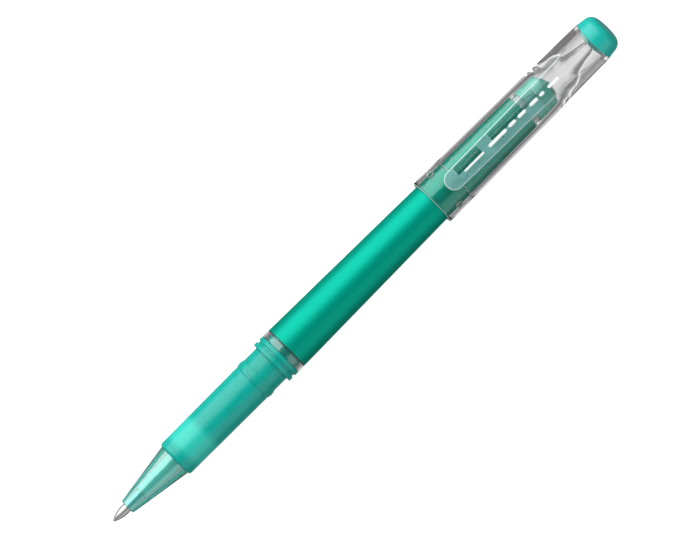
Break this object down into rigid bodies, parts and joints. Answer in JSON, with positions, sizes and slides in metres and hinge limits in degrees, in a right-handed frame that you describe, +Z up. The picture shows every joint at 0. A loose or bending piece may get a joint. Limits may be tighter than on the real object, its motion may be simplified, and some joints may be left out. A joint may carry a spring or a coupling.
{
  "type": "gel pen",
  "caption": "Capped gel ink pen with a clear posted cap, pocket clip, end eraser, soft grip sleeve, metallic barrel and a ball-point refill inside.",
  "frame": {"origin": "on the surface the pen lies on, under the middle of its length", "axes": "+X along the pen from the writing tip to the eraser, +Z up through the clip, +Y across; the pen's own axis lies 6.07 mm above the surface"},
  "size_m": [0.1612, 0.0122, 0.0145],
  "materials": {
    "carbide_ball": "polished tungsten carbide",
    "tip_steel": "turned bright nickel silver",
    "spring_steel": "bright drawn wire",
    "milky_plastic": "milky translucent plastic",
    "tube_plastic": "translucent tube plastic",
    "gel_ink": "wet gel",
    "follower_grease": "clear grease",
    "clear_teal_plastic": "polished transparent plastic",
    "grip_elastomer": "frosted translucent elastomer",
    "clear_plastic": "polished clear plastic",
    "pearl_green_metallic": "satin pearl metallic",
    "mint_plastic": "translucent moulded plastic",
    "eraser_elastomer": "smooth matte elastomer"
  },
  "bodies": {
    "barrel": {"barrel_tube": "clear_plastic", "barrel_sleeve": "pearl_green_metallic", "end_plug": "mint_plastic"},
    "refill": {"tip_housing": "tip_steel", "tip_spring": "spring_steel", "tip_holder": "milky_plastic", "refill_tube": "tube_plastic", "ink_column": "gel_ink", "refill_tail_plug": "milky_plastic"},
    "section": {"front_section": "clear_teal_plastic", "grip_sleeve": "grip_elastomer"},
    "writing_ball": {"tip_ball": "carbide_ball"},
    "valve": {"check_ball": "spring_steel"},
    "follower": {"ink_follower": "follower_grease"},
    "cap": {"cap_shell": "clear_plastic", "eraser": "eraser_elastomer"},
    "clip": {"cap_clip": "clear_plastic"}
  },
  "joints": [
    {"name": "cap_pull", "type": "slide", "parent": "barrel", "child": "cap", "axis": [1, 0, 0], "range_m": [0, 0.045]},
    {"name": "clip_flex", "type": "hinge", "parent": "cap", "child": "clip", "pos_m": [0.05638, 0, 0.01447], "axis": [0, 1, 0], "range_deg": [0, 6], "stiffness_Nm_per_rad": 1},
    {"name": "section_advance", "type": "slide", "parent": "barrel", "child": "refill", "axis": [-1, 0, 0], "range_m": [0, 0.004]},
    {"name": "section_unscrew", "type": "hinge", "parent": "refill", "child": "section", "pos_m": [-0.02058, 0, 0.00607], "axis": [-1, 0, 0], "range_deg": [0, 1440]},
    {"name": "ball_roll", "type": "hinge", "parent": "refill", "child": "writing_ball", "pos_m": [-0.08023, 0, 0.00607], "axis": [0, 1, 0], "continuous": true},
    {"name": "check_ball_float", "type": "slide", "parent": "refill", "child": "valve", "axis": [1, 0, 0], "range_m": [-0.0003, 0.0003]},
    {"name": "follower_travel", "type": "slide", "parent": "refill", "child": "follower", "axis": [-1, 0, 0], "range_m": [0, 0.074], "deforming": ["ink_column"]}
  ],
  "couplings": [
    {"joint": "section_unscrew", "follows": "section_advance", "rad_per_m": 6283.2}
  ]
}
